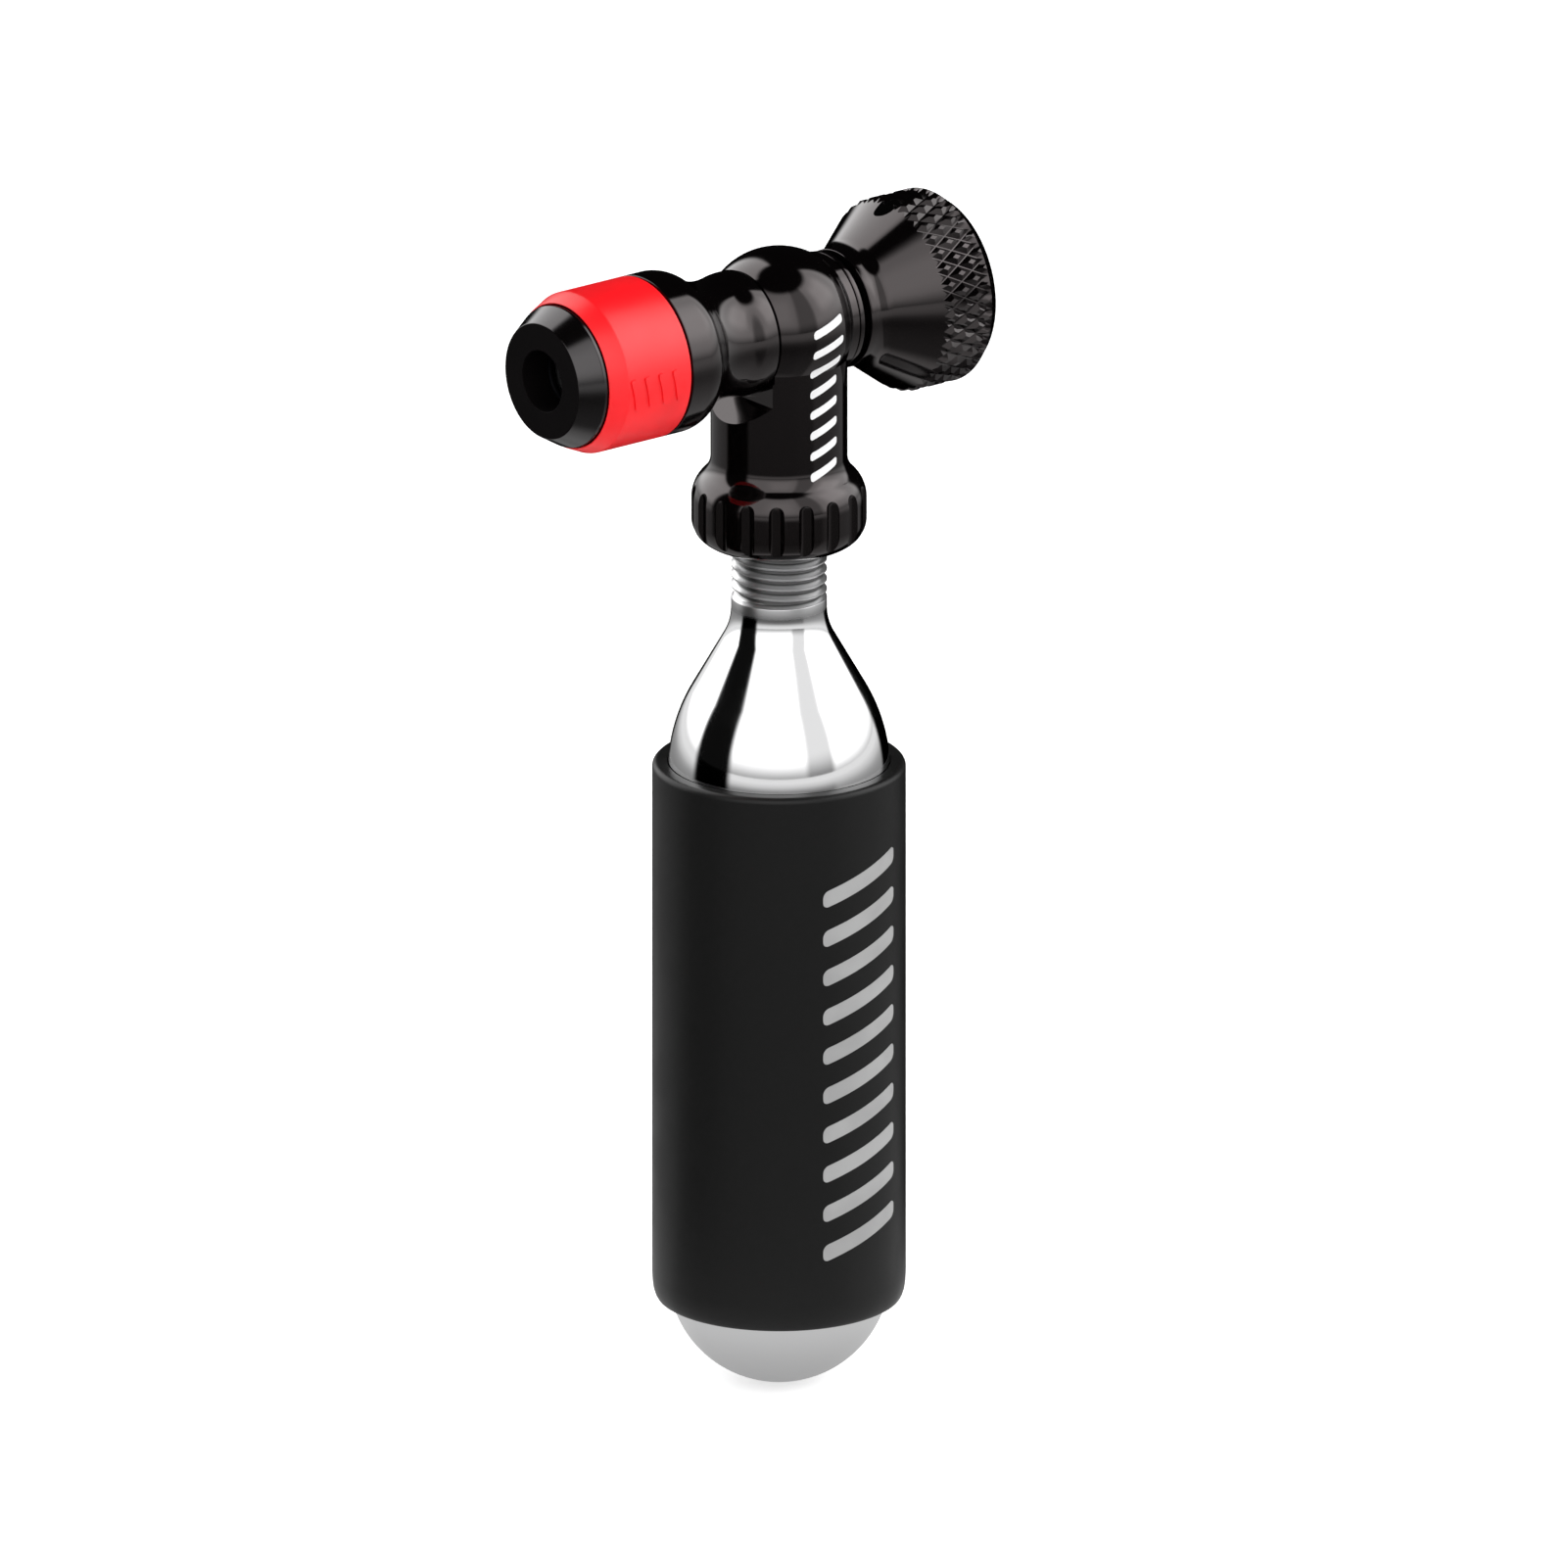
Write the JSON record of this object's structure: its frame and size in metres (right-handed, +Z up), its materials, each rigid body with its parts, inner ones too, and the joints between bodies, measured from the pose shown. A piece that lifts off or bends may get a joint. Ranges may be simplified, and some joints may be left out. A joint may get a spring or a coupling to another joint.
{
  "type": "bicycle tyre inflator",
  "caption": "Hand inflator for bicycle tyres: push-on valve chuck, screw-down control knob and a threaded gas cartridge in a foam sleeve.",
  "frame": {"origin": "centre of the chuck's mouth, where the tyre's valve stem enters", "axes": "+X from the mouth along the head to the knob, +Z up, away from the cartridge"},
  "size_m": [0.0505, 0.0252, 0.1199],
  "materials": {
    "black_anodised": "gloss",
    "black_nose": "satin",
    "red_anodised": "satin",
    "chromed_steel": "polished",
    "spring_steel": "satin",
    "brass": "satin",
    "seal_rubber": "matte",
    "white_nylon": "satin",
    "black_foam": "matte",
    "light_print": "matte"
  },
  "bodies": {
    "head": {"head_body": "black_anodised", "chuck_body": "black_anodised", "chuck_collar": "red_anodised", "chuck_nose": "black_nose", "grip_ring": "spring_steel", "valve_seal": "seal_rubber", "seal_washer": "brass", "chuck_o_ring": "seal_rubber", "valve_seat": "white_nylon", "gland_nut": "black_anodised", "gland_o_ring": "seal_rubber", "pin_holder": "brass", "piercing_pin": "spring_steel", "cartridge_seal": "seal_rubber"},
    "plunger": {"plunger": "brass", "plunger_spring": "spring_steel"},
    "stem_slide": {"spindle_o_ring": "seal_rubber"},
    "knob": {"knob": "black_anodised", "spindle": "spring_steel", "knob_screw": "spring_steel"},
    "cartridge_slide": {"cartridge_cap": "spring_steel"},
    "cartridge": {"cartridge_shell": "chromed_steel"},
    "sleeve": {"foam_sleeve": "black_foam"}
  },
  "joints": [
    {"name": "plunger_travel", "type": "slide", "parent": "head", "child": "plunger", "axis": [1, 0, 0], "range_m": [0, 0.0025], "stiffness_N_per_m": 400, "springref_m": -0.002, "deforming": ["plunger_spring"]},
    {"name": "stem_travel", "type": "slide", "parent": "head", "child": "stem_slide", "axis": [1, 0, 0], "range_m": [0, 0.00075]},
    {"name": "knob_turn", "type": "hinge", "parent": "stem_slide", "child": "knob", "pos_m": [0.03, 0, 0], "axis": [1, 0, 0], "range_deg": [0, 540]},
    {"name": "cartridge_travel", "type": "slide", "parent": "head", "child": "cartridge_slide", "axis": [0, 0, -1], "range_m": [0, 0.00635]},
    {"name": "cartridge_turn", "type": "hinge", "parent": "cartridge_slide", "child": "cartridge", "pos_m": [0.03, 0, -0.05], "axis": [0, 0, -1], "range_deg": [0, 2160]},
    {"name": "sleeve_slip", "type": "slide", "parent": "cartridge", "child": "sleeve", "axis": [0, 0, -1], "range_m": [-0.02, 0.065]}
  ],
  "couplings": [
    {"joint": "stem_travel", "follows": "knob_turn", "m_per_rad": 0.000079577},
    {"joint": "cartridge_travel", "follows": "cartridge_turn", "m_per_rad": 0.00016843}
  ]
}
